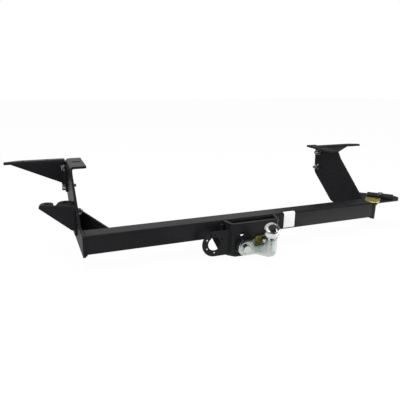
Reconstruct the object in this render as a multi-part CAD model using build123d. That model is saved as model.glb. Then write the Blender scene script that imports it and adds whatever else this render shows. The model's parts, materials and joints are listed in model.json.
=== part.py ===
from build123d import *
import math
import os

# Fixed towbar: a square cross tube between two side arms, with a bolted flange ball.
# Millimetres. +X runs along the cross tube, +Y points forward to the vehicle, +Z is up.
# Sub-parts are drawn in the tube frame: x from the tube's middle, y from its rear face,
# z from its underside. At the end all are moved so that the ball's centre is the origin.

# Cross tube
tube_length = 1070.0
tube_size = 60.0
tube_wall = 5.0
tube_corner = 7.0

# Ball and its place from the tube's rear face and underside
ball_diameter = 50.0
ball_behind = 147.0
ball_height = 65.0
ball_flat = 0.8

# Side arms, one plate each, welded on the tube's ends
arm_thickness = 8.0
arm_drop = 6.0
arm_overlap = 2.0
arm_top = 216.0
arm_flange_rear = 238.0
arm_flange_front = 390.0
arm_knee_run = 16.0
arm_shoulder_y = 223.0
arm_shoulder_below = 30.0
arm_heel_y = 382.0
arm_heel_below = 120.0
arm_sole_y = 249.0
arm_radii = dict(rear_low=3.0, rear_top=8.0, knee=18.0, shoulder=30.0, heel=26.0, sole=38.0)
arm_flange = 55.0
arm_bend = 6.0
arm_flange_corner = 7.0
chassis_slot_length = 30.0
chassis_slot_width = 12.5
chassis_slot_y = 318.0
chassis_slot_from_edge = 24.0

# Upper brackets, folded from thinner sheet and placed from the arm's top and front
sheet = 6.0
sheet_bend = 4.0
upper_below = {-1: 2.0, 1: 7.0}
upper_reach = {-1: 201.0, 1: 233.0}
upper_toe_length = {-1: 22.0, 1: 75.0}
upper_web_back = 14.0
upper_flange_depth = 30.0
upper_flange_side = 13.5
upper_flange_taper = 45.0
upper_side_depth = 40.0
upper_side_below = 114.0
upper_toe = 8.0
upper_heel_below = 88.0
upper_heel_x = 4.0
upper_corner = 8.0
upper_bolt_back = 16.0
upper_bolt_below = (94.0, 29.0)
upper_hole_x = (60.0, 140.0)
upper_hole_forward = 17.0
upper_hole = 10.5

# Left lower bracket, two lobes on a folded web
lower_top = 112.0
lower_web_y = 140.0
lower_skew = 18.0
lower_reach = 107.0
lobes = ((92.5, 22.5, 20.0), (38.0, 38.0, 24.0))
lobe_hole = 13.0
lower_toe_x = 14.0
lower_toe_z = 30.0
lower_toe = 9.0
lower_side_rear = 10.0
lower_side_front = 132.0
lower_side_bottom = 14.0
lower_side_slope = (70.0, 45.0)
lower_side_heel = (22.0, 16.0)
lower_side_corner = 8.0
lower_bolt = ((170.0, 84.0), (256.0, 50.0))

# Right lower bracket, a shelf with a clamp plate over a nut plate
shelf_reach = 135.0
shelf_rear = -1.0
shelf_side_rear = 44.0
shelf_side_drop = 2.0
shelf_depth = 140.0
shelf_nose = (24.0, 46.0)
shelf_nose_cut = 26.0
shelf_front_half = 34.0
shelf_corner = 14.0
shelf_bolt = ((20.0, 24.0), (62.0, 20.0))
clamp_length = 96.0
clamp_width = 46.0
clamp_thickness = 8.0
clamp_angle = -44.0
clamp_x = 60.0
clamp_y = 45.0
clamp_notch = 12.0
clamp_corner = 3.0
nut_plate_length = 118.0
nut_plate_width = 54.0
nut_plate_thickness = 4.0
nut_plate_angle = 42.0
nut_plate_tip_x = -21.0
nut_plate_tip_y = 1.0
nut_plate_ear = 15.0
nut_plate_hole = 14.0
nut_plate_hole_along = 54.0
nut_plate_hole_across = -13.0

# Corner brace between the tube's front face and the left arm
brace_thickness = 6.0
brace_tube_x = 80.0
brace_tube_below = 1.0
brace_arm_y = 226.0
brace_arm_z = 88.0

# Centre bracket, one folded plate, a little to the right of the ball
housing_plate = 10.0
housing_depth = 47.0
housing_shift = 2.5
housing_half = 98.5
housing_drop = 53.0
housing_bend = 5.0
housing_tail_y = 56.0
housing_tail_z = -18.0
housing_sole_y = 16.0
housing_rake = 0.235
housing_corner_cut = 9.0

# Ball bolts and the forged ball's flange and neck
bolt_spacing = 90.0
bolt_row_z = -16.0
spare_row_z = 22.5
ball_bolt_hole = 17.0
flange_thickness = 23.0
flange_radius = 25.5
flange_edge = 3.0
dip_radius = 17.0
dip_depth = 17.0
dip_corner = 5.0
spot_face = 32.0
spot_depth = 1.5
neck_radius = 15.5
neck_top_radius = 14.0
neck_edge = 11.0
neck_rise_above = 29.0
neck_rise_below = 16.0
throat_radius = 26.0
heel_radius = 26.0

# Socket plate on the centre bracket's left side
socket_radius = 42.0
socket_bore = 44.0
socket_thickness = 4.0
socket_x = -140.0
socket_z = -2.0
socket_y = -37.0
socket_hole = 5.5
socket_holes = 6
socket_circle = 59.0
socket_slit = 5.0
socket_slit_angle = 113.0

# Backing plate clamped between the ball's flange and the centre bracket
backing_thickness = 5.0
backing_half_height = 18.0
tab_left = 1.5
tab_right = 40.0
tab_top = 11.0
tab_corner = 7.0

# Label
label_width = 44.0
label_x = 160.0
label_wrap = 4.0
label_thickness = 0.4

# Welds and fasteners
weld_leg = 5.0
housing_weld_leg = 12.0
small_weld = 3.5
bolt_clearance = 1.0
upper_bolt_length = 40.0
lower_bolt_length = 35.0
clamp_bolt_length = 35.0
ball_bolt_length = 65.0

half_length = tube_length / 2
arm_inner = half_length
arm_outer = half_length + arm_thickness
sheet_outer = arm_outer + sheet
upper_web_y = arm_flange_front - upper_web_back
flange_front_y = -housing_depth - backing_thickness
flange_rear_y = flange_front_y - flange_thickness
beyond = 400.0
poke = 1.0


def home(shape):
    """Move a sub-part from the tube frame to the ball's frame."""
    return Pos(0, ball_behind, -ball_height) * shape


def outline(points, radii):
    """A closed flat face through the points, with each corner rounded."""
    return make_face(FilletPolyline(*points, radius=radii, close=True))


def side_plate(points, radii, x_from, x_to):
    """A plate across X whose outline is given in (y, z)."""
    face = Plane.YZ * outline(points, radii)
    return Pos(x_from, 0, 0) * extrude(face, x_to - x_from)


def flat_plate(points, radii, z_from, z_to):
    """A level plate whose outline is given in (x, y)."""
    return Pos(0, 0, z_from) * extrude(outline(points, radii), z_to - z_from)


def upright_plate(points, radii, y_from, y_to):
    """A plate across Y whose outline is given in (x, z)."""
    face = Plane.XZ * outline(points, radii)
    return Pos(0, y_to, 0) * extrude(face, y_to - y_from)


def angle_section(along, down, thickness, inside):
    """Section of a sheet folded square: from the outer corner one leg runs along, one down."""
    points = [(0, 0), (along, 0), (along, -thickness)]
    points += [(thickness, -thickness), (thickness, -down), (0, -down)]
    return outline(points, [inside + thickness, 0, 0, inside, 0, 0])


def rod_x(x_from, x_to, y, z, radius):
    """A round bar or hole along X."""
    bar = Plane.YZ * Circle(radius)
    return Pos(x_from, y, z) * extrude(bar, x_to - x_from)


def rod_y(y_from, y_to, x, z, radius):
    """A round bar or hole along Y."""
    return Pos(x, y_to, z) * extrude(Plane.XZ * Circle(radius), y_to - y_from)


def rod_z(z_from, z_to, x, y, radius):
    """A round bar or hole along Z."""
    return Pos(x, y, z_from) * extrude(Circle(radius), z_to - z_from)


def mirrored(shape):
    """The same shape on the other side of the tube's middle."""
    return mirror(shape, about=Plane.YZ)


# Metric fasteners: across flats, head height, nut height, washer diameter and thickness
metric = {
    12: dict(flats=18.0, head=7.5, nut=10.8, washer=24.0, washer_thick=2.5),
    16: dict(flats=24.0, head=10.0, nut=14.8, washer=30.0, washer_thick=3.0),
}
# Chamfers as shares of the hexagon's width and of the thread's diameter; the M16 spring washer
hexagon_crown = 0.06
thread_tip = 0.09
spring_thick = 3.5
spring_outer = 13.6
spring_gap = 1.9
spring_turn = 20.0


def bolt_hole(size):
    """Radius of the clearance hole for a bolt."""
    return size / 2 + bolt_clearance / 2


def hexagon(size, height):
    """A hexagon along +Z with the corners of its far end turned down to a cone."""
    flats = metric[size]["flats"]
    slope = flats * hexagon_crown
    corner = flats / math.sqrt(3)
    crown = Cylinder(corner + poke, height, align=(Align.CENTER, Align.CENTER, Align.MIN))
    crown = chamfer(crown.edges().group_by(Axis.Z)[-1], slope, slope + poke)
    prism = extrude(RegularPolygon(flats / 2, 6, major_radius=False), height)
    return prism & crown


def bolt(size, length):
    """A hexagon bolt: the head below Z = 0, the shank up from it."""
    shank = Cylinder(size / 2, length, align=(Align.CENTER, Align.CENTER, Align.MIN))
    shank = chamfer(shank.edges().group_by(Axis.Z)[-1], size * thread_tip)
    return Rot(180, 0, 0) * hexagon(size, metric[size]["head"]) + shank


def washer(size):
    """A flat washer that stands on Z = 0."""
    ring = Circle(metric[size]["washer"] / 2) - Circle(bolt_hole(size))
    return extrude(ring, metric[size]["washer_thick"])


def spring_washer(size):
    """A split spring washer, flattened by the bolt, that stands on Z = 0."""
    inner = bolt_hole(size)
    cut = Rectangle(2 * (spring_outer - inner), spring_gap)
    cut = Pos((inner + spring_outer) / 2, 0) * Rot(0, 0, spring_turn) * cut
    return extrude(Circle(spring_outer) - Circle(inner) - cut, spring_thick)


def nut(size):
    """A hexagon nut that stands on Z = 0."""
    height = metric[size]["nut"]
    return hexagon(size, height) - Cylinder(size / 2, 3 * height)


def clamp_set(size, grip, length, place, washers=2):
    """Bolt, washers and nut through a stack of the given thickness that starts at the place's Z = 0."""
    washer_thick = metric[size]["washer_thick"]
    under_head = washer_thick if washers == 2 else 0.0
    pieces = {
        "bolt": [place * Pos(0, 0, -under_head) * bolt(size, length)],
        "washer": [place * Pos(0, 0, grip) * washer(size)],
        "nut": [place * Pos(0, 0, grip + washer_thick) * nut(size)],
    }
    if washers == 2:
        pieces["washer"].append(place * Pos(0, 0, -washer_thick) * washer(size))
    return pieces


def merge_sets(sets):
    """Join the same kinds of fastener of several sets into one group each."""
    kinds = {}
    for one in sets:
        for kind, solids in one.items():
            kinds.setdefault(kind, []).extend(solids)
    return {kind: Compound(children=solids) for kind, solids in kinds.items()}


def tube_section(grow=0.0):
    """The cross tube's outer outline, grown by the given amount all round."""
    return RectangleRounded(tube_size + 2 * grow, tube_size + 2 * grow, tube_corner + grow)


def cross_tube():
    """The square tube with rounded corners."""
    section = tube_section() - tube_section(-tube_wall)
    tube = extrude(Plane.YZ * section, tube_length)
    return Pos(-half_length, tube_size / 2, tube_size / 2) * tube


def side_holes(side):
    """Places (y, z) of the four bolts through one arm."""
    upper = [(upper_web_y - upper_bolt_back, arm_top - below) for below in upper_bolt_below]
    lower = list(lower_bolt)
    if side > 0:
        lower = [(tube_size + run, z) for run, z in shelf_bolt]
    return upper, lower


def arm(side):
    """A side arm: one plate with its top folded inwards over the chassis rail."""
    radii = arm_radii
    corners = [
        (-arm_overlap, -arm_drop, radii["rear_low"]),
        (-arm_overlap, tube_size, radii["rear_top"]),
        (tube_size + arm_knee_run, tube_size, radii["knee"]),
        (arm_shoulder_y, arm_top - arm_shoulder_below, radii["shoulder"]),
        (arm_flange_rear, arm_top - arm_thickness - poke, 0),
        (arm_flange_rear, arm_top, 0),
        (arm_flange_front, arm_top, 0),
        (arm_heel_y, arm_top - arm_heel_below, radii["heel"]),
        (arm_sole_y, -arm_drop, radii["sole"]),
    ]
    inner = arm_outer - arm_flange
    section = Plane.XZ * angle_section(arm_flange, arm_top + arm_drop, arm_thickness, arm_bend)
    length = arm_flange_front + arm_overlap
    folded = mirrored(Pos(-arm_outer, arm_flange_front, arm_top) * extrude(section, length))
    points = [(y, z) for y, z, radius in corners]
    rounding = [radius for y, z, radius in corners]
    shape = side_plate(points, rounding, inner - poke, arm_outer + poke)
    body = folded & shape
    body = fillet(body.edges().filter_by(Axis.Z).group_by(Axis.X)[0], arm_flange_corner)
    slot = extrude(SlotOverall(chassis_slot_length, chassis_slot_width), 3 * arm_thickness)
    body -= Pos(inner + chassis_slot_from_edge, chassis_slot_y, arm_top - 2 * arm_thickness) * slot
    upper, lower = side_holes(side)
    for y, z in upper + lower:
        body -= rod_x(arm_inner - poke, arm_outer + poke, y, z, bolt_hole(12))
    return body if side > 0 else mirrored(body)


def ring_weld(side):
    """The fillet weld around the tube where it meets the arm."""
    toe = 0.3
    clear = 0.2
    base = Plane.YZ * tube_section(weld_leg)
    tip = Plane.YZ.offset(weld_leg) * tube_section(toe)
    bead = loft([base.face(), tip.face()])
    bead -= Plane.YZ.offset(-poke) * extrude(tube_section(), weld_leg + 2 * poke)
    bead = Pos(0, tube_size / 2, tube_size / 2) * bead
    # the weld stops at the arm's rear edge and top edge
    window = Box(2 * weld_leg + poke, arm_overlap + tube_size + weld_leg, arm_drop + tube_size - clear,
                 align=(Align.CENTER, Align.MIN, Align.MIN))
    bead = bead & Pos(0, clear - arm_overlap, clear - arm_drop) * window
    bead = Pos(-half_length, 0, 0) * bead
    return bead if side < 0 else mirrored(bead)


def upper_bracket(side):
    """A folded bracket: an upright web, a top flange forward and a side flange rearward."""
    reach = arm_outer + upper_reach[side]
    heel = reach - upper_toe_length[side]
    front = upper_web_y + upper_flange_depth
    top = arm_top - upper_below[side]
    bottom = arm_top - upper_side_below
    # the top fold runs along X
    section = Plane.YZ * angle_section(upper_flange_depth, top - bottom, sheet, sheet_bend)
    folded = Pos(arm_outer, upper_web_y, top) * extrude(section, reach - arm_outer)
    folded &= upright_plate(
        [(arm_outer, bottom), (arm_outer, top), (reach, top), (reach, top - upper_toe),
         (heel, top - upper_toe), (sheet_outer + upper_heel_x, arm_top - upper_heel_below),
         (sheet_outer, bottom)],
        [0, 0, 0, upper_corner / 4, upper_corner, upper_corner, 0], upper_web_y, front)
    folded &= flat_plate(
        [(arm_outer, upper_web_y), (reach, upper_web_y), (reach, upper_web_y + upper_flange_side),
         (reach - upper_flange_taper, front), (arm_outer, front)],
        [0, upper_corner / 2, upper_corner, 2 * upper_corner, upper_corner], bottom, top)
    # the side fold runs along Z and stops short of the top fold
    side_top = top - 2 * sheet - sheet_bend
    side_front = upper_web_y + sheet
    side_rear = side_front - upper_side_depth
    section = angle_section(2 * sheet + sheet_bend, upper_side_depth, sheet, sheet_bend)
    flange = Pos(arm_outer, side_front, bottom) * extrude(section, side_top - bottom)
    flange &= side_plate(
        [(side_rear, bottom), (side_rear, side_top), (side_front, side_top), (side_front, bottom)],
        [upper_corner, upper_corner, 0, 0], arm_outer, arm_outer + 3 * sheet)
    body = folded + flange
    for y, z in side_holes(side)[0]:
        body -= rod_x(arm_outer - poke, sheet_outer + poke, y, z, bolt_hole(12))
    hole_y = upper_web_y + upper_hole_forward
    for x in upper_hole_x:
        body -= rod_z(top - sheet - poke, top + poke, arm_outer + x, hole_y, upper_hole / 2)
    return body if side > 0 else mirrored(body)


def lobe_outline(start, reach, depth):
    """Plan of the left lower bracket's level top: a straight fold line and two round lobes."""
    face = Pos((start + reach) / 2, depth / 2) * Rectangle(reach - start, depth)
    for x, y, radius in lobes:
        face += Pos(x, y) * Circle(radius)
        face += Pos(x, y / 2) * Rectangle(2 * radius, y)
    return face


def lower_left_bracket():
    """A folded bracket on the left arm: a level top with two lobes over a skewed web."""
    reach = lower_reach / math.cos(math.radians(lower_skew))
    deepest = max(y + radius for x, y, radius in lobes)
    start = -deepest
    section = Plane.YZ * angle_section(deepest, lower_top, sheet, sheet_bend)
    folded = Pos(start, 0, lower_top) * extrude(section, reach - start)
    folded &= extrude(lobe_outline(start, reach, sheet + sheet_bend), lower_top)
    folded &= upright_plate(
        [(start, lower_top), (reach, lower_top), (reach, lower_top - lower_toe), (lower_toe_x, lower_toe_z),
         (start, lower_toe_z)], [0, 0, sheet_bend, lower_toe, 0], 0, deepest)
    for x, y, radius in lobes:
        folded -= rod_z(lower_top - sheet - poke, lower_top + poke, x, y, lobe_hole / 2)
    folded = Pos(arm_outer, lower_web_y, 0) * Rot(0, 0, lower_skew) * folded
    outside = Box(beyond, beyond, beyond, align=(Align.MIN, Align.CENTER, Align.CENTER))
    folded &= Pos(arm_outer, lower_web_y, 0) * outside
    rear = lower_web_y - lower_side_rear
    front = lower_web_y + lower_side_front
    top = lower_top - poke
    bottom = lower_side_bottom
    side = side_plate(
        [(rear, bottom), (rear, top), (front - lower_side_slope[0], top), (front, top - lower_side_slope[1]),
         (front, bottom + lower_side_heel[1]), (front - lower_side_heel[0], bottom)],
        lower_side_corner, arm_outer, sheet_outer)
    body = folded + side
    for y, z in lower_bolt:
        body -= rod_x(arm_outer - poke, sheet_outer + poke, y, z, bolt_hole(12))
    return mirrored(body)


def lower_right_bracket():
    """A shelf level with the tube's top, folded down against the right arm."""
    far = arm_outer + shelf_reach
    drop = tube_size + shelf_side_drop
    step_z = tube_size - 2 * sheet
    section = Plane.XZ * angle_section(shelf_reach, drop, sheet, sheet_bend)
    folded = Pos(arm_outer, shelf_depth, tube_size) * extrude(section, shelf_depth - shelf_rear)
    nose_corner = (shelf_nose[1] - shelf_nose[0]) / 2
    folded &= flat_plate(
        [(arm_outer, shelf_rear), (far - shelf_nose_cut, shelf_rear), (far, shelf_nose[0]),
         (far, shelf_nose[1]), (arm_outer + shelf_front_half, shelf_depth - sheet), (arm_outer, shelf_depth)],
        [sheet / 2, shelf_corner, nose_corner, shelf_corner, shelf_corner, 0], -shelf_side_drop, tube_size)
    folded &= side_plate(
        [(shelf_rear, tube_size), (shelf_depth, tube_size), (shelf_depth, -shelf_side_drop),
         (shelf_side_rear, -shelf_side_drop), (shelf_side_rear, step_z), (shelf_rear, step_z)],
        [0, 0, shelf_corner / 2, shelf_corner / 2, sheet_bend, 0], arm_outer, far)
    for y, z in side_holes(1)[1]:
        folded -= rod_x(arm_outer - poke, sheet_outer + poke, y, z, bolt_hole(12))
    return folded - clamp_hole()


def clamp_hole():
    """The clearance hole down through the clamp plate, the nut plate and the shelf."""
    return rod_z(0, 2 * tube_size, arm_outer + clamp_x, clamp_y, bolt_hole(12))


def nut_plate():
    """The passivated strap under the clamp plate, with an ear for the clamp's bolt."""
    face = Pos(nut_plate_length / 2, 0) * SlotOverall(nut_plate_length, nut_plate_width)
    face -= Pos(nut_plate_hole_along, nut_plate_hole_across) * Circle(nut_plate_hole / 2)
    place = Pos(arm_outer + nut_plate_tip_x, nut_plate_tip_y, tube_size) * Rot(0, 0, nut_plate_angle)
    ear = rod_z(tube_size, tube_size + nut_plate_thickness, arm_outer + clamp_x, clamp_y, nut_plate_ear)
    return place * extrude(face, nut_plate_thickness) + ear - clamp_hole()


def clamp_plate():
    """The black plate clamped over the nut plate, with a notch in its forward edge."""
    face = RectangleRounded(clamp_length, clamp_width, clamp_corner)
    face -= Pos(0, clamp_width / 2) * RectangleRounded(clamp_notch, clamp_notch, clamp_corner / 2)
    base = tube_size + nut_plate_thickness
    place = Pos(arm_outer + clamp_x, clamp_y, base) * Rot(0, 0, clamp_angle)
    return place * extrude(face, clamp_thickness) - clamp_hole()


def brace_line():
    """Where the brace's forward face leaves the tube, and its run from there to the arm."""
    start = Vector(brace_tube_x - arm_inner, tube_size, 0)
    return start, Vector(-arm_inner, brace_arm_y, 0) - start


def brace_corner():
    """The room between the tube's front face and the left arm's inner face."""
    room = Box(beyond, beyond, beyond, align=(Align.MIN, Align.MIN, Align.CENTER))
    return Pos(-arm_inner, tube_size, 0) * room


def corner_brace():
    """An upright plate across the corner between the tube's front face and the left arm."""
    start, run = brace_line()
    angle = math.degrees(math.atan2(run.Y, run.X))
    low_z = tube_size - brace_tube_below
    slope = (brace_arm_z - low_z) / run.length
    # the plate is drawn too long, then both its ends are cut by the tube's face and the arm's face
    spare = 3 * brace_thickness
    length = run.length + spare
    points = [(-spare, 0), (-spare, low_z), (0, low_z), (length, low_z + slope * length), (length, 0)]
    plate = upright_plate(points, 0, 0, brace_thickness)
    return (Pos(start.X, start.Y, 0) * Rot(0, 0, angle) * plate) & brace_corner()


def brace_weld():
    """Two beads: one in front of the brace at the tube, one behind it at the arm."""
    start, run = brace_line()
    behind = brace_thickness * run.length / abs(run.X)
    places = [
        (start.X, tube_size, tube_size - tube_corner),
        (-arm_inner, brace_arm_y - behind, brace_arm_z - 2 * small_weld),
    ]
    beads = []
    for x, y, top in places:
        bead = rod_z(small_weld, top, x, y, small_weld)
        beads.append((bead & brace_corner()) - corner_brace())
    return beads


def housing_x(y):
    """Half width of the centre bracket's outside at a depth y: it narrows rearwards."""
    return housing_half + housing_rake * y


def centre_bracket():
    """One plate folded into a front wall and two raked side walls that pass under the tube."""
    rear = -housing_depth
    tail = housing_tail_y
    wall = housing_plate / math.cos(math.atan(housing_rake))
    nip = housing_plate * housing_rake
    rear_half = housing_x(rear)
    tail_half = housing_x(tail)
    outer = [(-tail_half, tail), (-rear_half, rear), (rear_half, rear), (tail_half, tail)]
    inner = [(tail_half - wall, tail), (rear_half - wall + nip, rear + housing_plate),
             (wall - nip - rear_half, rear + housing_plate), (wall - tail_half, tail)]
    bend = housing_bend + housing_plate
    wrap = outline(outer + inner, [0, bend, bend, 0, 0, housing_bend, housing_bend, 0])
    body = Pos(0, 0, -housing_drop) * extrude(wrap, housing_drop + tube_size)
    # side view: the walls stop at the tube's rear face above its underside, and rake up under it
    body &= side_plate(
        [(rear - poke, -housing_drop), (rear - poke, tube_size), (0, tube_size), (0, 0), (tail + poke, 0),
         (tail + poke, housing_tail_z), (housing_sole_y, -housing_drop)],
        [0, 0, 0, 0, 0, housing_bend, housing_plate], -beyond, beyond)
    # the two lower corners of the front wall are ground off
    for side in (-1, 1):
        outward = Vector(side, -1, -1).normalized()
        corner = Vector(side * rear_half, rear, -housing_drop) - outward * housing_corner_cut
        ground = Plane(origin=corner, z_dir=outward) * Rectangle(housing_drop, housing_drop)
        body -= extrude(ground, housing_drop)
    body = Pos(housing_shift, 0, 0) * body
    for x in (-bolt_spacing / 2, bolt_spacing / 2):
        for z in (bolt_row_z, spare_row_z):
            body -= rod_y(rear - poke, rear + housing_plate + poke, x, z, ball_bolt_hole / 2)
    return body


def housing_weld():
    """Fillet welds where the centre bracket's side walls meet the tube's rear face."""
    leg = housing_weld_leg
    # the profile reaches into the wall, which is then cut away from it
    inside = leg * housing_rake
    profile = make_face(Polyline((-inside, 0), (leg, 0), (-inside, -leg), close=True))
    bead = Pos(housing_x(0), 0, tube_corner) * extrude(profile, tube_size - 2 * tube_corner)
    pair = [Pos(housing_shift, 0, 0) * one for one in (bead, mirrored(bead))]
    bracket = centre_bracket()
    return [one - bracket for one in pair]


def socket_plate():
    """The plate that carries the trailer socket: a disc with a square root, bored and slit."""
    root_x = housing_shift - housing_x(socket_y) + poke
    centre = Pos(socket_x, socket_z)
    face = centre * Circle(socket_radius)
    face += Pos((socket_x + root_x) / 2, socket_z) * Rectangle(root_x - socket_x, 2 * socket_radius)
    face -= centre * Circle(socket_bore / 2)
    for step in range(socket_holes):
        turn = Rot(0, 0, (step + 0.5) * 360 / socket_holes)
        face -= centre * turn * Pos(socket_circle / 2, 0) * Circle(socket_hole / 2)
    reach = socket_radius + poke
    slit = Pos(reach / 2, 0) * Rectangle(reach, socket_slit)
    face -= centre * Rot(0, 0, socket_slit_angle) * slit
    plate = extrude(Plane.XZ * face, -socket_thickness)
    return Pos(0, socket_y - socket_thickness / 2, 0) * plate - centre_bracket()


def socket_plate_weld():
    """The two beads that join the socket plate to the centre bracket's left wall."""
    plate = socket_plate()
    bracket = centre_bracket()
    beads = []
    for side in (-1, 1):
        y = socket_y + side * socket_thickness / 2
        x = housing_shift - housing_x(y)
        reach = socket_radius - small_weld
        bead = rod_z(socket_z - reach, socket_z + reach, x, y, small_weld)
        beads.append(bead - plate - bracket)
    return beads


def flange_outline():
    """The ball's flange from behind: a long rounded plate with a shallow dip above the neck."""
    top = bolt_row_z + flange_radius
    face = Pos(0, bolt_row_z) * SlotCenterToCenter(bolt_spacing, 2 * flange_radius)
    face -= Pos(0, top - dip_depth + dip_radius) * Circle(dip_radius)
    return face


def neck():
    """The forged bar: out of the flange, rising a little, then up to the sphere. Y = 0 is its axis."""
    root = ball_behind + flange_rear_y
    inside = root + flange_edge + poke
    above = math.tan(math.radians(neck_rise_above))
    below = math.tan(math.radians(neck_rise_below))
    top_z = bolt_row_z + flange_radius - dip_depth
    low_z = bolt_row_z - flange_radius
    throat_z = top_z + above * (root - neck_radius)
    heel_z = low_z + below * (root + neck_radius)
    elbow_top = throat_z + throat_radius * math.tan(math.radians(45 - neck_rise_above / 2)) + poke / 4
    points = [(inside, top_z - above * (inside - root)), (neck_radius, throat_z), (neck_radius, elbow_top),
              (-neck_radius, elbow_top), (-neck_radius, heel_z), (inside, low_z - below * (inside - root))]
    bar = side_plate(points, [0, throat_radius, 0, 0, heel_radius, 0], -neck_radius, neck_radius)
    edges = bar.edges().group_by(Axis.X)[0] + bar.edges().group_by(Axis.X)[-1]
    long_edges = [edge for edge in edges
                  if edge.center().Y < inside - poke and edge.center().Z < elbow_top - poke]
    bar = fillet(long_edges, neck_edge)
    sphere_low = ball_height - ball_diameter / 2
    shank_tall = sphere_low + neck_radius / 2 - elbow_top
    shank = loft([
        (Pos(0, 0, elbow_top) * RectangleRounded(2 * neck_radius, 2 * neck_radius, neck_edge)).face(),
        (Pos(0, 0, elbow_top + shank_tall) * Circle(neck_top_radius)).face(),
    ])
    return bar + shank


def tow_ball():
    """The forged ball: a sphere on a neck that comes out of a two-hole flange."""
    sphere = Sphere(ball_diameter / 2)
    sphere -= Pos(0, 0, ball_diameter / 2 - ball_flat) * Box(
        ball_diameter, ball_diameter, ball_diameter, align=(Align.CENTER, Align.CENTER, Align.MIN))
    sphere = Pos(0, 0, ball_height) * sphere
    flange = Pos(0, flange_front_y, 0) * extrude(Plane.XZ * flange_outline(), flange_thickness)
    flange = fillet(flange.edges().filter_by(Axis.Y), dip_corner)
    flange = chamfer(flange.edges().group_by(Axis.Y)[0], flange_edge)
    body = flange + Pos(0, -ball_behind, 0) * (sphere + neck())
    for x in (-bolt_spacing / 2, bolt_spacing / 2):
        body -= rod_y(-ball_behind, flange_front_y + poke, x, bolt_row_z, ball_bolt_hole / 2)
        body -= rod_y(-ball_behind, flange_rear_y + spot_depth, x, bolt_row_z, spot_face / 2)
    return body


def backing_plate():
    """The passivated plate behind the flange: two bolt holes and a tab that stands above the dip."""
    face = Pos(0, bolt_row_z) * SlotCenterToCenter(bolt_spacing, 2 * backing_half_height)
    tab_tall = tab_top - bolt_row_z
    tab = RectangleRounded(tab_right - tab_left, tab_tall, tab_corner)
    face += Pos((tab_left + tab_right) / 2, bolt_row_z + tab_tall / 2) * tab
    for x in (-bolt_spacing / 2, bolt_spacing / 2):
        face -= Pos(x, bolt_row_z) * Circle(ball_bolt_hole / 2)
    return Pos(0, -housing_depth, 0) * extrude(Plane.XZ * face, backing_thickness)


def blank_label():
    """A plain sticker on the tube's rear face, folded over its upper corner."""
    half = tube_size / 2
    shell = Pos(half, half) * (tube_section(label_thickness) - tube_section())
    window = Pos(-poke, tube_corner - poke) * Rectangle(
        tube_corner + label_wrap + poke, 2 * tube_size, align=(Align.MIN, Align.MIN))
    strip = extrude(Plane.YZ * (shell & window), label_width)
    return Pos(label_x - label_width / 2, 0, 0) * strip


def side_fasteners():
    """The bolts that hold the four brackets to the arms."""
    groups = {}
    grip = sheet + arm_thickness
    for side, name in ((-1, "left"), (1, "right")):
        inward = Rot(0, -90 * side, 0)
        upper, lower = side_holes(side)
        levels = (("upper", upper, upper_bolt_length), ("lower", lower, lower_bolt_length))
        for level, holes, length in levels:
            places = [Pos(side * sheet_outer, y, z) * inward for y, z in holes]
            sets = [clamp_set(12, grip, length, place) for place in places]
            groups[f"{name}_{level}"] = merge_sets(sets)
    return groups


def clamp_fasteners():
    """The bolt down through the clamp plate, with its nut under the shelf."""
    stack = clamp_thickness + nut_plate_thickness
    place = Pos(arm_outer + clamp_x, clamp_y, tube_size + stack) * Rot(180, 0, 0)
    return merge_sets([clamp_set(12, stack + sheet, clamp_bolt_length, place, washers=1)])


def ball_fasteners():
    """The two bolts through the flange, with spring washers under their nuts."""
    size = 16
    grip = flange_thickness - spot_depth + backing_thickness + housing_plate
    sets = []
    for x in (-bolt_spacing / 2, bolt_spacing / 2):
        place = Pos(x, flange_rear_y + spot_depth, bolt_row_z) * Rot(-90, 0, 0)
        one = clamp_set(size, grip, ball_bolt_length, place, washers=1)
        one["spring_washer"] = [place * Pos(0, 0, grip + metric[size]["washer_thick"]) * spring_washer(size)]
        one["nut"] = [Pos(0, spring_thick, 0) * piece for piece in one["nut"]]
        sets.append(one)
    return merge_sets(sets)


def write(name, shape):
    """Save one sub-part in the ball's frame. A list of solids becomes one group."""
    if isinstance(shape, list):
        shape = Compound(children=shape)
    export_step(home(shape), f"parts/{name}.step")


def main():
    os.makedirs("parts", exist_ok=True)
    write("cross_tube", cross_tube())
    write("left_arm", arm(-1))
    write("right_arm", arm(1))
    write("left_arm_weld", ring_weld(-1))
    write("right_arm_weld", ring_weld(1))
    write("left_upper_bracket", upper_bracket(-1))
    write("right_upper_bracket", upper_bracket(1))
    write("left_lower_bracket", lower_left_bracket())
    write("right_lower_bracket", lower_right_bracket())
    write("nut_plate", nut_plate())
    write("clamp_plate", clamp_plate())
    write("corner_brace", corner_brace())
    write("brace_weld", brace_weld())
    write("centre_bracket", centre_bracket())
    write("centre_bracket_weld", housing_weld())
    write("socket_plate", socket_plate())
    write("socket_plate_weld", socket_plate_weld())
    write("tow_ball", tow_ball())
    write("backing_plate", backing_plate())
    write("blank_label", blank_label())
    groups = side_fasteners()
    groups["clamp"] = clamp_fasteners()
    groups["ball"] = ball_fasteners()
    for joint, kinds in groups.items():
        for kind, solids in kinds.items():
            write(f"{joint}_{kind}s", solids)


main()
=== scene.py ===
import json
import math

import bmesh
import bpy
from mathutils import Matrix, Vector
from mathutils.bvhtree import BVHTree


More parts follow.
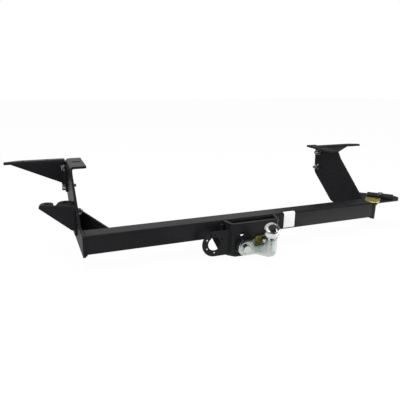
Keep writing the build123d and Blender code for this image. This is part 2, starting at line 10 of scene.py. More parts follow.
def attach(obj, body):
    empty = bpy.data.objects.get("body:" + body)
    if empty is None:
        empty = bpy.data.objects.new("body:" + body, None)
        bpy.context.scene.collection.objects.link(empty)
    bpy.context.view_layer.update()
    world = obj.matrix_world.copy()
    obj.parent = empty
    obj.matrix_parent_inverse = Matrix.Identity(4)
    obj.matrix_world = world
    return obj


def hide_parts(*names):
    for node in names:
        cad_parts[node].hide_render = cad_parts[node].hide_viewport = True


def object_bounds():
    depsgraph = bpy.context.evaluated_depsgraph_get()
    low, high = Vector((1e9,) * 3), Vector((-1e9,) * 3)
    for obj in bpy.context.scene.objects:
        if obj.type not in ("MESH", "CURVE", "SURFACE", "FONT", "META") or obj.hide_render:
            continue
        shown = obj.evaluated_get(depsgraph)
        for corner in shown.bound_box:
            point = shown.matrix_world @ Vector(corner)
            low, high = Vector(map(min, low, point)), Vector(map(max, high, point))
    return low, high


# A fixed towbar, seen from behind the vehicle, from the ball's left and a little above.
# Metres, with the centre of the ball as the origin, +Y towards the vehicle and +Z up.

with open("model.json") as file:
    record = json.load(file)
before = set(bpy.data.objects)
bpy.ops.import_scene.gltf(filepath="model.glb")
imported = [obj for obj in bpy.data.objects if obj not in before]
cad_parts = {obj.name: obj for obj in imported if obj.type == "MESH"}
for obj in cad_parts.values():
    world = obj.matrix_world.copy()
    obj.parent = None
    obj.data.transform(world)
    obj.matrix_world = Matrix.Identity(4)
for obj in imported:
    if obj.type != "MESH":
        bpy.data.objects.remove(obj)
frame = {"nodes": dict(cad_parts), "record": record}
cadLow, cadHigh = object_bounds()
nodes = frame["nodes"]
slotOf = {part["node"]: part["material_slot"] for part in frame["record"]["subparts"]}
print("frame loaded:", len(nodes), "parts")


class Socket:
    # wraps a node's output, so that node maths reads as plain expressions
    def __init__(self, graph, value):
        self.graph = graph
        self.value = value

    def __add__(self, other):
        return self.graph.maths("ADD", self, other)

    def __radd__(self, other):
        return self.graph.maths("ADD", other, self)

    def __sub__(self, other):
        return self.graph.maths("SUBTRACT", self, other)

    def __rsub__(self, other):
        return self.graph.maths("SUBTRACT", other, self)

    def __mul__(self, other):
        return self.graph.maths("MULTIPLY", self, other)

    def __rmul__(self, other):
        return self.graph.maths("MULTIPLY", other, self)

    def __truediv__(self, other):
        return self.graph.maths("DIVIDE", self, other)

    def __rtruediv__(self, other):
        return self.graph.maths("DIVIDE", other, self)


class Graph:
    # a node tree of any kind, empty at first
    def __init__(self, tree):
        self.tree = tree
        tree.nodes.clear()

    def node(self, kind, settings=None, inputs=None, pick=0):
        # settings first, then the values or links of the sockets, by name or in order
        made = self.tree.nodes.new(kind)
        for key, value in (settings or {}).items():
            setattr(made, key, value)
        pairs = inputs.items() if isinstance(inputs, dict) else enumerate(inputs or [])
        for key, value in pairs:
            if isinstance(value, Socket):
                self.tree.links.new(value.value, made.inputs[key])
            else:
                made.inputs[key].default_value = value
        return Socket(self, made.outputs[pick])

    def maths(self, operation, *values):
        return self.node("ShaderNodeMath", {"operation": operation}, values)

    def clamped(self, value):
        return self.maths("MINIMUM", self.maths("MAXIMUM", value, 0.0), 1.0)


noiseSpan = (0.3, 0.7)  # where most of a noise's values lie


class Finish(Graph):
    # a material, or the world where one is given
    def __init__(self, name, world=None):
        self.owner = world or bpy.data.materials.new(name)
        self.owner.use_nodes = True
        super().__init__(self.owner.node_tree)
        kind = "ShaderNodeOutputWorld" if world else "ShaderNodeOutputMaterial"
        self.output = self.tree.nodes.new(kind)

    def here(self):
        return self.node("ShaderNodeTexCoord", pick="Object")

    def noise(self, scale, detail=3.0, rough=0.5):
        inputs = {"Vector": self.here(), "Scale": scale, "Detail": detail, "Roughness": rough}
        return self.node("ShaderNodeTexNoise", {}, inputs)

    def band(self, value, span, ends=(0.0, 1.0)):
        # a smooth step between the two ends as value crosses the span
        inputs = {"Value": value, "From Min": span[0], "From Max": span[1],
                  "To Min": ends[0], "To Max": ends[1]}
        return self.node("ShaderNodeMapRange", {"interpolation_type": "SMOOTHSTEP"}, inputs)

    def mix(self, share, first, second):
        # inputs 6 and 7 and output 2 are the node's colours
        inputs = {"Factor": share, 6: first, 7: second}
        return self.node("ShaderNodeMix", {"data_type": "RGBA"}, inputs, pick=2)

    def bump(self, height, strength, distance):
        inputs = {"Height": height, "Strength": strength, "Distance": distance}
        return self.node("ShaderNodeBump", {}, inputs)

    def glow(self, kind, strength):
        return self.node(kind, {}, {"Color": (1, 1, 1, 1), "Strength": strength})

    def backdropRays(self):
        # 1 for rays that see the background: from the camera, off gloss and through glass
        camera, glossy, through = [
            self.node("ShaderNodeLightPath", pick=name)
            for name in ("Is Camera Ray", "Is Glossy Ray", "Is Transmission Ray")]
        return camera + glossy + through

    def either(self, share, first, second):
        return self.node("ShaderNodeMixShader", {}, {"Fac": share, 1: first, 2: second})

    def surface(self, shader):
        self.tree.links.new(shader.value, self.output.inputs["Surface"])
        return self.owner

    def finish(self, inputs):
        return self.surface(self.node("ShaderNodeBsdfPrincipled", {}, inputs))


turning = {
    "moreRows": 4,  # a turned shape has this many more rows than its outline has steps
    "join": 1e-5,  # corners nearer than this are one
}


class Recipe(Graph):
    # a Geometry Nodes tree whose sizes are named inputs
    def __init__(self, name, sizes):
        super().__init__(bpy.data.node_groups.new(name, "GeometryNodeTree"))
        self.sizes = sizes
        sockets = {"Geometry": "NodeSocketGeometry", "Finish": "NodeSocketMaterial"}
        for key, value in sizes.items():
            sockets[key] = "NodeSocketInt" if isinstance(value, int) else "NodeSocketFloat"
        for key, kind in sockets.items():
            self.tree.interface.new_socket(key, in_out="INPUT", socket_type=kind)
        self.tree.interface.new_socket(
            "Geometry", in_out="OUTPUT", socket_type="NodeSocketGeometry")
        self.given = self.tree.nodes.new("NodeGroupInput")
        self.output = self.tree.nodes.new("NodeGroupOutput")

    def size(self, key):
        return Socket(self, self.given.outputs[key])

    def end(self, shape):
        real = self.node("GeometryNodeRealizeInstances", {}, [shape])
        inputs = {"Geometry": real, "Material": self.size("Finish")}
        done = self.node("GeometryNodeSetMaterial", {}, inputs)
        self.tree.links.new(done.value, self.output.inputs[0])
        return self

    def join(self, *shapes):
        made = self.tree.nodes.new("GeometryNodeJoinGeometry")
        for shape in shapes:
            self.tree.links.new(shape.value, made.inputs[0])
        return Socket(self, made.outputs[0])

    def turned(self, around, rows, outline, bore=None, split=0.0):
        # A grid rolled round Z and closed: a plug, a ring with a bore, or one with a split.
        # Its first row and last two rows close the ends.
        grid = self.node("GeometryNodeMeshGrid", {}, {
            "Size X": 1.0, "Size Y": 1.0, "Vertices X": around + 1, "Vertices Y": rows})
        here = self.node("GeometryNodeInputPosition")
        across = self.node("ShaderNodeSeparateXYZ", {}, [here], pick=0) + 0.5
        up = self.node("ShaderNodeSeparateXYZ", {}, [here], pick=1) + 0.5
        row = self.maths("ROUND", up * (rows - 1))
        column = self.maths("ROUND", across * around)
        first = self.maths("LESS_THAN", row, 0.5)
        lastTwo = self.maths("GREATER_THAN", row, rows - 2.5)
        last = self.maths("GREATER_THAN", row, rows - 1.5)
        share = self.clamped((row - 1) / (rows - turning["moreRows"]))
        if bore is not None:
            share = share * (1 - last)
        turn = across
        if split:
            turn = self.clamped((column - 1) / (around - 2)) * (1 - split)
        radius, height = outline(share, turn)
        inner = 0.0 if bore is None else bore
        closing = first + lastTwo
        radius = radius * (1 - closing) + closing * inner
        if split:
            # the first and last columns close the two cut faces
            cut = self.maths("LESS_THAN", column, 0.5)
            cut = cut + self.maths("GREATER_THAN", column, around - 0.5)
            outer, level = outline(0.5, turn)
            radius = radius * (1 - cut) + (outer + inner) * cut * 0.5
            height = height * (1 - cut) + level * cut
        angle = turn * math.tau
        spot = self.node("ShaderNodeCombineXYZ", {}, [
            radius * self.maths("COSINE", angle), radius * self.maths("SINE", angle), height])
        moved = self.node("GeometryNodeSetPosition", {}, {"Geometry": grid, "Position": spot})
        inputs = {"Geometry": moved, "Distance": turning["join"]}
        return self.node("GeometryNodeMergeByDistance", {}, inputs)

    def hexagon(self, turn):
        # from the axis to the side of a hexagon, as a share of half its flats
        around = self.maths("FRACT", turn * 6) - 0.5
        return 1 / self.maths("COSINE", around * (math.tau / 6))

    def repeated(self, shape):
        # One on each point, its Z along the point's axis, spun by chance up to a radian.
        # Inputs 2 and 3 and output 1 of the random value are its plain numbers.
        axis = self.node("GeometryNodeInputNamedAttribute",
                         {"data_type": "FLOAT_VECTOR"}, ["axis"])
        aimed = self.node("FunctionNodeAlignRotationToVector", {"axis": "Z"}, {"Vector": axis})
        spin = self.node("FunctionNodeRandomValue", {"data_type": "FLOAT"},
                         {2: 0.0, 3: 1.0, "Seed": self.size("Seed")}, pick=1)
        spun = self.node("ShaderNodeCombineXYZ", {}, [0.0, 0.0, spin])
        turned = self.node("FunctionNodeRotateRotation",
                           {"rotation_space": "LOCAL"}, [aimed, spun])
        inputs = {"Points": self.size("Geometry"), "Instance": shape, "Rotation": turned}
        return self.node("GeometryNodeInstanceOnPoints", {}, inputs)


def newPiece(name, mesh):
    made = bpy.data.objects.new(name, mesh)
    bpy.context.scene.collection.objects.link(made)
    return made


def modified(piece, kind, **settings):
    made = piece.modifiers.new(kind.lower(), kind)
    for key, value in settings.items():
        setattr(made, key, value)


def applied(piece):
    # the evaluated shape as a plain mesh, with no modifiers left
    evaluated = piece.evaluated_get(bpy.context.evaluated_depsgraph_get())
    mesh = bpy.data.meshes.new_from_object(evaluated)
    piece.modifiers.clear()
    old, piece.data = piece.data, mesh
    mesh.name = piece.name
    bpy.data.meshes.remove(old)
    return piece


def cooked(piece, recipe, finish, **sizes):
    made = piece.modifiers.new(recipe.tree.name, "NODES")
    made.node_group = recipe.tree
    values = {**recipe.sizes, **sizes, "Finish": finish}
    for item in recipe.tree.interface.items_tree:
        if item.in_out == "INPUT" and item.name in values:
            made[item.identifier] = values[item.name]
    return applied(piece)


def smoothed(piece, degrees):
    piece.data.shade_smooth()
    piece.data.set_sharp_from_angle(angle=math.radians(degrees))
    return piece


def placed(piece, name):
    slot = slotOf[name]
    if not piece.data.materials:
        piece.data.materials.append(finishes[slot])
    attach(piece, "root")
    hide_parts(name)


def camelName(name):
    first, *others = name.split("_")
    return first + "".join(word.capitalize() for word in others)


mending = {"join": 2e-6, "sliver": 2e-5}  # corners nearer than this are one


def mergedShape(name):
    # a CAD node's loose triangles, joined up
    shape = bmesh.new()
    shape.from_mesh(nodes[name].data)
    bmesh.ops.remove_doubles(shape, verts=shape.verts, dist=mending["join"])
    return shape


def mergedCopy(name):
    mesh = bpy.data.meshes.new(camelName(name))
    shape = mergedShape(name)
    shape.to_mesh(mesh)
    shape.free()
    return newPiece(camelName(name), mesh)


def settled(piece, name, reach):
    # the few corners that a bevel throws off the CAD surface are laid back onto it
    shape = mergedShape(name)
    surface = BVHTree.FromBMesh(shape)
    shape.free()
    shape = bmesh.new()
    shape.from_mesh(piece.data)
    for vert in shape.verts:
        near, *_, distance = surface.find_nearest(vert.co)
        if distance > reach:
            vert.co = near
    bmesh.ops.dissolve_degenerate(shape, dist=mending["sliver"], edges=shape.edges)
    shape.to_mesh(piece.data)
    shape.free()
    return piece


def boxOf(points):
    low = Vector([min(point[axis] for point in points) for axis in range(3)])
    high = Vector([max(point[axis] for point in points) for axis in range(3)])
    return low, high


def islandsOf(name):
    # the corners of each separate solid in a CAD node, from left to right
    shape = mergedShape(name)
    waiting = set(shape.verts)
    found = []
    while waiting:
        group, edge = [], [waiting.pop()]
        while edge:
            vert = edge.pop()
            group.append(vert.co.copy())
            for link in vert.link_edges:
                other = link.other_vert(vert)
                if other in waiting:
                    waiting.discard(other)
                    edge.append(other)
        found.append(group)
    shape.free()
    found.sort(key=lambda group: tuple(round(value, 5) for value in boxOf(group)[0]))
    return found


camera = {
    "place": (-0.6853, -1.0869, 0.4739),
    "yaw": 22.40,
    "down": 15.91,
    "roll": 1.13,
    "lens": 39.94,
    "sensor": 36.0,
    "shift": (-0.00085, -0.0163),
    "clip": (0.01, 50.0),
}


def makeCamera():
    data = bpy.data.cameras.new("camera")
    data.lens = camera["lens"]
    data.sensor_width = camera["sensor"]
    data.shift_x, data.shift_y = camera["shift"]
    data.clip_start, data.clip_end = camera["clip"]
    made = newPiece("camera", data)
    aim = Matrix.Rotation(math.radians(-camera["yaw"]), 4, "Z")
    aim = aim @ Matrix.Rotation(math.radians(90 - camera["down"]), 4, "X")
    aim = aim @ Matrix.Rotation(math.radians(camera["roll"]), 4, "Z")
    made.matrix_world = Matrix.Translation(camera["place"]) @ aim
    bpy.context.scene.camera = made


# Each finish: two tones that a noise of some scale and detail mixes, and how rough it is.
# A bump is its strength and its depth.
coat = {
    "tones": ((0.0105, 0.0107, 0.0118, 1), (0.0150, 0.0153, 0.0166, 1)),
    "cloud": (11.0, 4.0),
    "peel": (420.0, 2.0),
    "grain": (2600.0, 2.0),
    "grainShare": 0.4,
    "bump": (0.35, 0.0004),
    "rough": (0.22, 0.30),
    "gloss": 0.12,
}


def blackCoat():
    graph = Finish("black powder coat")
    peel = graph.noise(*coat["peel"])
    grain = graph.noise(*coat["grain"])
    cloud = graph.noise(*coat["cloud"])
    return graph.finish({
        "Base Color": graph.mix(cloud, *coat["tones"]),
        "Roughness": graph.band(cloud, noiseSpan, coat["rough"]),
        "Normal": graph.bump(grain * coat["grainShare"] + peel, *coat["bump"]),
        "Specular IOR Level": coat["gloss"],
    })


zinc = {
    "tones": ((0.66, 0.70, 0.69, 1), (0.83, 0.86, 0.86, 1)),
    "stains": (60.0, 4.0),
    "grain": 900.0,
    "bump": (0.2, 0.0003),
    "rough": (0.20, 0.32),
}


def brightZinc():
    graph = Finish("bright zinc")
    stains = graph.noise(*zinc["stains"])
    return graph.finish({
        "Base Color": graph.mix(stains, *zinc["tones"]),
        "Metallic": 1.0,
        "Roughness": graph.band(stains, noiseSpan, zinc["rough"]),
        "Normal": graph.bump(graph.noise(zinc["grain"]), *zinc["bump"]),
    })


forging = {
    "machinedTones": ((0.78, 0.80, 0.80, 1), (0.88, 0.89, 0.88, 1)),
    # duller forged skin, tinted green by a painted yellow-green reflection
    "forgedTones": ((0.50, 0.57, 0.53, 1), (0.76, 0.80, 0.77, 1)),
    "stains": (38.0, 5.0, 0.6),
    "skin": (330.0, 4.0, 0.6),
    "bump": (0.35, 0.0006),
    "stainBump": 2,
    "rough": (0.10, 0.14),
    "skinRough": (0.18, 0.06),
    "edge": (0.0251, 0.0275),  # how far from the ball's centre the machining ends
}


def forgedZinc():
    # machined bright at the ball, with the forging's skin under the plating below it; the skin's
    # tones also carry a greenish cast that is a painted yellow-green reflection
    graph = Finish("forged zinc")
    away = graph.node("ShaderNodeVectorMath", {"operation": "LENGTH"}, [graph.here()], "Value")
    forged = graph.band(away, forging["edge"])
    stains = graph.noise(*forging["stains"])
    skin = graph.noise(*forging["skin"])
    machinedTone = graph.mix(stains, *forging["machinedTones"])
    # the forged tone is the skin's own duller colour plus a painted greenish reflection
    forgedToneWithPaintedReflection = graph.mix(stains, *forging["forgedTones"])
    share, least = forging["skinRough"]
    rough = graph.band(stains, noiseSpan, forging["rough"]) + forged * (skin * share + least)
    height = skin * forged + stains * forged * forging["stainBump"]
    return graph.finish({
        "Base Color": graph.mix(forged, machinedTone, forgedToneWithPaintedReflection),
        "Metallic": 1.0,
        "Roughness": rough,
        "Normal": graph.bump(height, *forging["bump"]),
    })


passivated = {
    "tones": ((0.55, 0.48, 0.11, 1), (0.72, 0.65, 0.24, 1)),
    "stains": (55.0, 4.0),
    "rough": (0.30, 0.45),
    "metal": 0.9,
}


def yellowZinc():
    graph = Finish("yellow passivated zinc")
    stains = graph.noise(*passivated["stains"])
    return graph.finish({
        "Base Color": graph.mix(stains, *passivated["tones"]),
        "Metallic": passivated["metal"],
        "Roughness": graph.band(stains, noiseSpan, passivated["rough"]),
    })


labelPaper = {
    "tones": ((0.84, 0.84, 0.84, 1), (0.91, 0.91, 0.91, 1)),
    "cloud": 70.0,
    "rough": 0.5,
}


def whiteLabel():
    graph = Finish("white label")
    return graph.finish({
        "Base Color": graph.mix(graph.noise(labelPaper["cloud"]), *labelPaper["tones"]),
        "Roughness": labelPaper["rough"],
    })


finishes = {
    "black_coat": blackCoat(),
    "ball_zinc": forgedZinc(),
    "bright_zinc": brightZinc(),
    "yellow_zinc": yellowZinc(),
    "white_label": whiteLabel(),
}


# Sheet and plate: how far each edge is rounded.
plates = {
    "cross_tube": 0.0004,
    "left_arm": 0.0009,
    "right_arm": 0.0009,
    "left_upper_bracket": 0.0007,
    "right_upper_bracket": 0.0007,
    "left_lower_bracket": 0.0007,
    "right_lower_bracket": 0.0007,
    "corner_brace": 0.0007,
    "centre_bracket": 0.0010,
    "socket_plate": 0.0006,
    "backing_plate": 0.0006,
    "nut_plate": 0.0005,
    "clamp_plate": 0.0008,
    "blank_label": 0.0001,
}
rounding = {"steps": 3, "sharperThan": 40, "shadeAngle": 50, "faceWeight": 100}


def makePlates():
    for name, width in plates.items():
        piece = mergedCopy(name)
        modified(piece, "BEVEL", width=width, segments=rounding["steps"],
                 limit_method="ANGLE", angle_limit=math.radians(rounding["sharperThan"]),
                 use_clamp_overlap=False, loop_slide=False)
        smoothed(settled(applied(piece), name, width / 2), rounding["shadeAngle"])
        modified(piece, "WEIGHTED_NORMAL", keep_sharp=True, weight=rounding["faceWeight"])
        placed(applied(piece), name)
    print("plates made:", len(plates))


# The flange ball: forged in one, then machined at the ball and under the bolt heads.
ball = {
    "radius": 0.025,
    "top": 0.0242,  # the flat on top of the sphere
    "facets": (96, 64),
    "voxel": 0.0011,
    "softening": (0.5, 6),
    "seats": ((-0.045, -0.081), (0.045, -0.081)),
    "seatLevel": 0.0735,
    "seatRadius": 0.0163,
    "seatCut": (-0.03, 0.0),
    "holeRadius": 0.0085,
    "holeCut": (-0.01, 0.05),
    "cutterSides": 64,
    "shadeAngle": 40,
}


def sphere():
    shape = bmesh.new()
    around, rings = ball["facets"]
    bmesh.ops.create_uvsphere(shape, u_segments=around, v_segments=rings, radius=ball["radius"])
    for vert in shape.verts:
        vert.co.z = min(vert.co.z, ball["top"])
    mesh = bpy.data.meshes.new("sphere")
    shape.to_mesh(mesh)
    shape.free()
    return newPiece("sphere", mesh)


def cutter(name, radius, seat, span):
    # a plain round bar along Y, from one end of the span to the other
    start, end = [Vector((seat[0], ball["seatLevel"] + value, seat[1])) for value in span]
    turn = Matrix.Rotation(math.radians(90), 4, "X")
    shape = bmesh.new()
    bmesh.ops.create_cone(
        shape, cap_ends=True, segments=ball["cutterSides"], radius1=radius, radius2=radius,
        depth=span[1] - span[0], matrix=Matrix.Translation((start + end) / 2) @ turn)
    mesh = bpy.data.meshes.new(name)
    shape.to_mesh(mesh)
    shape.free()
    return newPiece(name, mesh)


def combined(piece, tool, operation):
    modified(piece, "BOOLEAN", object=tool, operation=operation, solver="EXACT")
    applied(piece)
    mesh = tool.data
    bpy.data.objects.remove(tool)
    bpy.data.meshes.remove(mesh)


def makeBall():
    piece = mergedCopy("tow_ball")
    factor, times = ball["softening"]
    modified(piece, "REMESH", mode="VOXEL", voxel_size=ball["voxel"])
    modified(piece, "SMOOTH", factor=factor, iterations=times)
    applied(piece)
    combined(piece, sphere(), "UNION")
    for seat in ball["seats"]:
        combined(piece, cutter("seat", ball["seatRadius"], seat, ball["seatCut"]), "DIFFERENCE")
        combined(piece, cutter("hole", ball["holeRadius"], seat, ball["holeCut"]), "DIFFERENCE")
    placed(smoothed(piece, ball["shadeAngle"]), "tow_ball")
    print("ball made:", len(piece.data.polygons), "faces")


# Weld beads: a ripple every few millimetres along each seam.
bead = {"Width": 0.003, "Pitch": 0.0026, "Ripple": 0.16, "Taper": 0.0, "Seed": 3}
beadForm = {
    "stepsPerRipple": 7,
    "sides": 14,
    "core": 0.78,
    "drift": 0.24,
    "driftNoise": {"Scale": 190.0, "Detail": 2.0},
    "endShare": 0.35,
    "endSlope": 12,
    "shadeAngle": 60,
}


def beadRecipe():
    recipe = Recipe("weld bead", bead)
    seam = recipe.node("GeometryNodeMeshToCurve", {}, [recipe.size("Geometry")])
    step = recipe.size("Pitch") / beadForm["stepsPerRipple"]
    seam = recipe.node("GeometryNodeResampleCurve", {"mode": "LENGTH"},
                       {"Curve": seam, "Length": step})
    along = recipe.node("GeometryNodeSplineParameter", pick="Length")
    share = recipe.node("GeometryNodeSplineParameter", pick="Factor")
    wave = recipe.maths("SQRT", recipe.maths("FRACT", along / recipe.size("Pitch")))
    here = recipe.node("GeometryNodeInputPosition")
    drift = recipe.node(
        "ShaderNodeTexNoise", {"noise_dimensions": "4D"},
        {"Vector": here, "W": recipe.size("Seed"), **beadForm["driftNoise"]})
    ends = recipe.maths("MINIMUM", share, 1 - share) * beadForm["endSlope"]
    ends = recipe.maths("MINIMUM", ends + beadForm["endShare"], 1.0)
    thick = beadForm["core"] + wave * recipe.size("Ripple") + drift * beadForm["drift"]
    radius = recipe.size("Width") * thick * (1 - recipe.size("Taper") * (1 - ends))
    ring = recipe.node("GeometryNodeCurvePrimitiveCircle", {},
                       {"Resolution": beadForm["sides"], "Radius": 1.0})
    inputs = {"Curve": seam, "Profile Curve": ring, "Scale": radius, "Fill Caps": True}
    return recipe.end(recipe.node("GeometryNodeCurveToMesh", {}, inputs))


seams = {
    "ringOver": 0.06,  # a box larger than this across is a ring round the tube's end
    "corner": 0.0075,
    "cornerPoints": 6,
    "ringFill": 1.1,
    "lineFill": 1.05,
    "lineInset": 0.001,
}


def ringSeam(low, high):
    x = (low.x + high.x) / 2
    corner, count = seams["corner"], seams["cornerPoints"]
    inset = (high - low).x / 2 + corner
    points = []
    for turn in range(4):
        y = high.y - inset if turn in (0, 3) else low.y + inset
        z = high.z - inset if turn in (0, 1) else low.z + inset
        for part in range(count):
            angle = math.radians(turn * 90 + part * 90 / (count - 1))
            points.append((x, y + corner * math.cos(angle), z + corner * math.sin(angle)))
    return points


def lineSeam(low, high):
    x, y = (low.x + high.x) / 2, (low.y + high.y) / 2
    inset = seams["lineInset"]
    return [(x, y, low.z + inset), (x, y, high.z - inset)]


def makeWelds():
    recipe = beadRecipe()
    names = [name for name in nodes if name.endswith("_weld")]
    for name in names:
        points, edges = [], []
        for group in islandsOf(name):
            low, high = boxOf(group)
            size = high - low
            isRing = min(size.y, size.z) > seams["ringOver"]
            if isRing:
                seam, width = ringSeam(low, high), size.x / 2 * seams["ringFill"]
            else:
                seam, width = lineSeam(low, high), max(size.x, size.y) / 2 * seams["lineFill"]
            start, count = len(points), len(seam)
            points += seam
            edges += [(start + i, start + (i + 1) % count)
                      for i in range(count if isRing else count - 1)]
        mesh = bpy.data.meshes.new(name)
        mesh.from_pydata(points, edges, [])
        piece = newPiece(camelName(name), mesh)
        cooked(piece, recipe, finishes["black_coat"], Width=width, Taper=0.0 if isRing else 1.0)
        placed(smoothed(piece, beadForm["shadeAngle"]), name)
    print("welds made:", len(names))


# Hexagon bolts, nuts and washers by thread size.
threads = {
    12: {"Flats": 0.018, "Head": 0.0075, "Pitch": 0.00175, "Radius": 0.006, "Outer": 0.012},
    16: {"Flats": 0.024, "Head": 0.0100, "Pitch": 0.002, "Radius": 0.008, "Outer": 0.015},
}
fastenerForm = {
    "chamferStart": 0.955,  # share of the flats at which the corners start to be turned off
    "chamferSlope": 1.732,
    "threadDepth": 0.55,  # share of the pitch
    "rowsPerPitch": 6,
    "tip": 0.82,
    "nutBore": 0.94,
    "washerRound": 0.0002,
    "washerPlay": 0.0005,
    "springSplit": 0.025,
    "rimShare": 0.9,  # only a bolt's head lies farther out than this
    "shadeAngle": 28,
}
facets = {"head": (48, 16), "shank": 24, "nut": (48, 22), "washer": (48, 10), "spring": (56, 8)}


def hexagonSide(recipe, turn, belowFace):
    # a hexagon's side, turned down to a cone towards the face
    flats = recipe.size("Flats")
    cone = flats * (0.5 * fastenerForm["chamferStart"]) + belowFace * fastenerForm["chamferSlope"]
    return recipe.maths("MINIMUM", flats * 0.5 * recipe.hexagon(turn), cone)


def boltRecipe():
    sizes = {"Flats": 0.018, "Head": 0.0075, "Radius": 0.006, "Length": 0.035,
             "Pitch": 0.00175, "Rows": 120, "Seed": 5}
    recipe = Recipe("hexagon bolt", sizes)
    head, radius = recipe.size("Head"), recipe.size("Radius")
    length, pitch = recipe.size("Length"), recipe.size("Pitch")

    def headOutline(share, turn):
        height = head * share
        return hexagonSide(recipe, turn, head - height), height

    def shankOutline(share, turn):
        height = length * (share - 1)
        around = height / pitch - turn + 100  # whole turns more, so that it stays above 0
        wave = recipe.maths("ABSOLUTE", recipe.maths("FRACT", around) * 2 - 1)
        crest = radius - pitch * fastenerForm["threadDepth"] * (1 - wave)
        tip = radius * fastenerForm["tip"] + (height + length)
        return recipe.maths("MINIMUM", crest, tip), height

    both = recipe.join(recipe.turned(*facets["head"], headOutline),
                       recipe.turned(facets["shank"], recipe.size("Rows"), shankOutline))
    return recipe.end(recipe.repeated(both))


def nutRecipe():
    recipe = Recipe("hexagon nut", {"Flats": 0.018, "Nut": 0.0108, "Radius": 0.006, "Seed": 7})
    tall = recipe.size("Nut")

    def outline(share, turn):
        height = tall * share
        nearest = recipe.maths("MINIMUM", height, tall - height)
        return hexagonSide(recipe, turn, nearest), height - tall * 0.5

    bore = recipe.size("Radius") * fastenerForm["nutBore"]
    return recipe.end(recipe.repeated(recipe.turned(*facets["nut"], outline, bore=bore)))


def washerRecipe():
    sizes = {"Outer": 0.012, "Thickness": 0.0025, "Bore": 0.0065, "Seed": 1}
    recipe = Recipe("flat washer", sizes)
    edge = fastenerForm["washerRound"]

    def outline(share, turn):
        bulge = recipe.maths("SQRT", share * (1 - share) * 4)
        radius = recipe.size("Outer") - edge + bulge * edge
        return radius, recipe.size("Thickness") * (share - 0.5)

    ring = recipe.turned(*facets["washer"], outline, bore=recipe.size("Bore"))
    return recipe.end(recipe.repeated(ring))


def springRecipe():
    sizes = {"Outer": 0.0136, "Thickness": 0.0035, "Bore": 0.0082, "Rise": 0.0006, "Seed": 2}
    recipe = Recipe("spring washer", sizes)
    rise = recipe.size("Rise")

    def outline(share, turn):
        height = (recipe.size("Thickness") - rise) * (share - 0.5)
        return recipe.size("Outer"), height + rise * (turn - 0.5)

    ring = recipe.turned(*facets["spring"], outline, bore=recipe.size("Bore"),
                         split=fastenerForm["springSplit"])
    return recipe.end(recipe.repeated(ring))


def seatsOf(name, isBolt):
    # the middle, axis and length of each fastener; a bolt's axis points to its head
    seats = []
    for group in islandsOf(name):
        low, high = boxOf(group)
        size = high - low
        middle = (low + high) / 2
        axis = max(range(3), key=lambda i: size[i] if isBolt else -size[i])
        rim = sorted(size)[1] / 2 * fastenerForm["rimShare"]
        headSide = 0.0
        for point in group:
            across = point - middle
            along, across[axis] = across[axis], 0.0
            if across.length > rim:
                headSide += along
        way = Vector([0, 0, 0])
        way[axis] = 1.0 if not isBolt or headSide > 0 else -1.0
        seats.append((middle, way, size[axis]))
    return seats


def makeFasteners():
    bolt, nut, washer, spring = boltRecipe(), nutRecipe(), washerRecipe(), springRecipe()
    finish = finishes["bright_zinc"]
    made = 0
    for name in nodes:
        if not name.endswith(("bolts", "nuts", "washers")):
            continue
        sizes = threads[16 if name.startswith("ball") else 12]
        isBolt = name.endswith("bolts")
        seats = seatsOf(name, isBolt)
        points = [middle + way * (length / 2 - sizes["Head"]) if isBolt else middle
                  for middle, way, length in seats]
        mesh = bpy.data.meshes.new(name)
        mesh.from_pydata(points, [], [])
        axis = mesh.attributes.new("axis", "FLOAT_VECTOR", "POINT")
        for row, seat in zip(axis.data, seats):
            row.vector = seat[1]
        piece = newPiece(camelName(name), mesh)
        length = seats[0][2]
        if isBolt:
            shank = length - sizes["Head"]
            rows = int(shank / sizes["Pitch"] * fastenerForm["rowsPerPitch"])
            rows += turning["moreRows"]
            cooked(piece, bolt, finish, **sizes, Length=shank, Rows=rows)
        elif name.endswith("nuts"):
            cooked(piece, nut, finish, **sizes, Nut=length)
        elif "spring" in name:
            cooked(piece, spring, finish, Thickness=length)
        else:
            bore = sizes["Radius"] + fastenerForm["washerPlay"]
            cooked(piece, washer, finish, Outer=sizes["Outer"], Thickness=length, Bore=bore)
        placed(smoothed(piece, fastenerForm["shadeAngle"]), name)
        made += len(seats)
    print("fasteners made:", made)


def board(name, wide, tall, matrix):
    # a flat rectangle that only stands in the studio
    mesh = bpy.data.meshes.new(name)
    x, y = wide / 2, tall / 2
    mesh.from_pydata([(-x, -y, 0), (x, -y, 0), (x, y, 0), (-x, y, 0)], [], [(0, 1, 2, 3)])
    mesh.transform(matrix)
    return newPiece(name, mesh)


floor = {"side": 14.0, "shade": 0.86, "plain": 0.96}


def makeFloor():
    side, shade = floor["side"], floor["shade"]
    made = board("floor", side, side, Matrix.Translation((0, 0, cadLow.z)))
    graph = Finish("pale floor")
    soft = graph.node("ShaderNodeBsdfDiffuse", {}, {"Color": (shade, shade, shade, 1)})
    plain = graph.glow("ShaderNodeEmission", 1.0)
    seen = graph.backdropRays() * floor["plain"]
    made.data.materials.append(graph.surface(graph.either(seen, soft, plain)))


studio = {"light": 0.6, "backdrop": 1.0}


def makeWorld():
    world = bpy.data.worlds.new("studio")
    bpy.context.scene.world = world
    graph = Finish("studio", world)
    light = graph.glow("ShaderNodeBackground", studio["light"])
    backdrop = graph.glow("ShaderNodeBackground", studio["backdrop"])
    graph.surface(graph.either(graph.backdropRays(), light, backdrop))


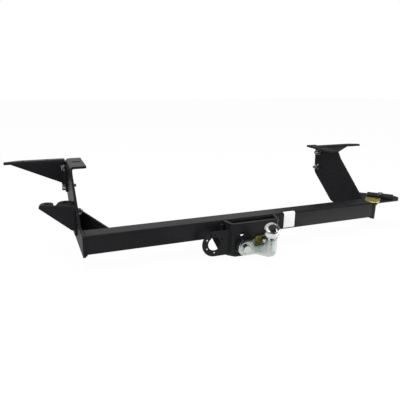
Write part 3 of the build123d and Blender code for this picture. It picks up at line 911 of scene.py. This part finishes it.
# Boards and soft boxes that only reflections see, as a studio's flags shape the gloss.
# Those on the floor lie a little over it and over each other.
cards = {
    "behindCamera": {"place": (-0.9, -2.6, 1.1), "size": (5.2, 2.5), "tilt": 90, "shade": 0.02},
    "overCamera": {"place": (-0.2, -0.8, 2.4), "size": (6.8, 4.0), "shade": 0.05},
    "overFront": {"place": (0, 2.6, 2.6), "size": (6.0, 2.8), "shade": 0.6},
    "farLeft": {"place": (-0.6, 3.0, 0.95), "size": (5.6, 2.6), "tilt": 90, "shade": 0.60},
    "farRight": {"place": (3.2, 2.6, 0.9), "size": (3.0, 2.4), "tilt": 90, "shade": 0.14},
    "leftWall": {"place": (-3.2, -1.5, 1.6), "size": (2.4, 1.8),
                 "tilt": 90, "turn": 90, "shade": 0.06},
    "rightWall": {"place": (3.3, -1.1, 1.2), "size": (3.0, 2.6),
                  "tilt": 90, "turn": 90, "shade": 0.10},
    "rightBack": {"place": (3.4, 1.3, 0.9), "size": (2.8, 2.4),
                  "tilt": 90, "turn": 90, "shade": 0.12},
    "softLeft": {"place": (-2.2, -0.85, 0.20), "size": (0.8, 0.7),
                 "tilt": 90, "turn": -72, "shade": 2.6},
    "softRight": {"place": (1.67, -1.86, 0.36), "size": (0.55, 0.6),
                  "tilt": 90, "turn": 42, "shade": 1.7},
    "leftFloor": {"place": (-1.7, -1.4, -0.1175), "size": (3.0, 3.1), "shade": 0.40},
    "leftBackFloor": {"place": (-1.75, 1.2, -0.1175), "size": (2.5, 2.1), "shade": 0.35},
    "backFloor": {"place": (0.05, 1.2, -0.1175), "size": (1.1, 2.1), "shade": 0.10},
    "sideFloor": {"place": (2.55, -0.3, -0.1175), "size": (1.5, 3.4), "shade": 0.30},
    "darkFloor": {"place": (-0.30, -1.6, -0.1174), "size": (1.2, 2.8), "shade": 0.06},
    "rightFloor": {"place": (1.05, -0.75, -0.1174), "size": (1.5, 1.7), "shade": 2.6},
    "middleFloor": {"place": (0.05, -0.04, -0.1173), "size": (0.5, 0.36), "shade": 0.80},
    "greyFloor": {"place": (0.75, -0.87, -0.1172), "size": (0.9, 1.5), "shade": 0.45},
    "brightFloor": {"place": (0.19, -0.13, -0.1171), "size": (0.22, 0.18), "shade": 1.3},
}


def makeCards():
    for name, card in cards.items():
        turn = Matrix.Rotation(math.radians(card.get("turn", 0)), 4, "Z")
        turn = turn @ Matrix.Rotation(math.radians(card.get("tilt", 0)), 4, "X")
        made = board(name, *card["size"], Matrix.Translation(card["place"]) @ turn)
        for ray in ("camera", "diffuse", "shadow", "transmission", "volume_scatter"):
            setattr(made, "visible_" + ray, False)
        graph = Finish(name)
        made.data.materials.append(graph.surface(graph.glow("ShaderNodeEmission", card["shade"])))


lamps = {
    "top": {"place": (-0.3, 0.2, 2.6), "aim": (0, 0.2, 0), "size": 2.2, "power": 52},
    "left": {"place": (-2.4, -1.0, 1.2), "aim": (0, 0.1, 0), "size": 1.4, "power": 20},
    "right": {"place": (2.6, -1.8, 1.4), "aim": (0.2, 0.1, 0), "size": 1.6, "power": 30},
}


def makeLamps():
    for name, lamp in lamps.items():
        data = bpy.data.lights.new(name, "AREA")
        data.size = lamp["size"]
        data.energy = lamp["power"]
        made = newPiece(name, data)
        made.visible_glossy = False
        way = Vector(lamp["aim"]) - Vector(lamp["place"])
        turn = way.to_track_quat("-Z", "Y").to_matrix().to_4x4()
        made.matrix_world = Matrix.Translation(lamp["place"]) @ turn


makeCamera()
makePlates()
makeBall()
makeWelds()
makeFasteners()
makeFloor()
makeWorld()
makeCards()
makeLamps()
bpy.context.scene.view_settings.view_transform = "Standard"
print("studio ready:", len(cards), "cards and", len(lamps), "lamps")
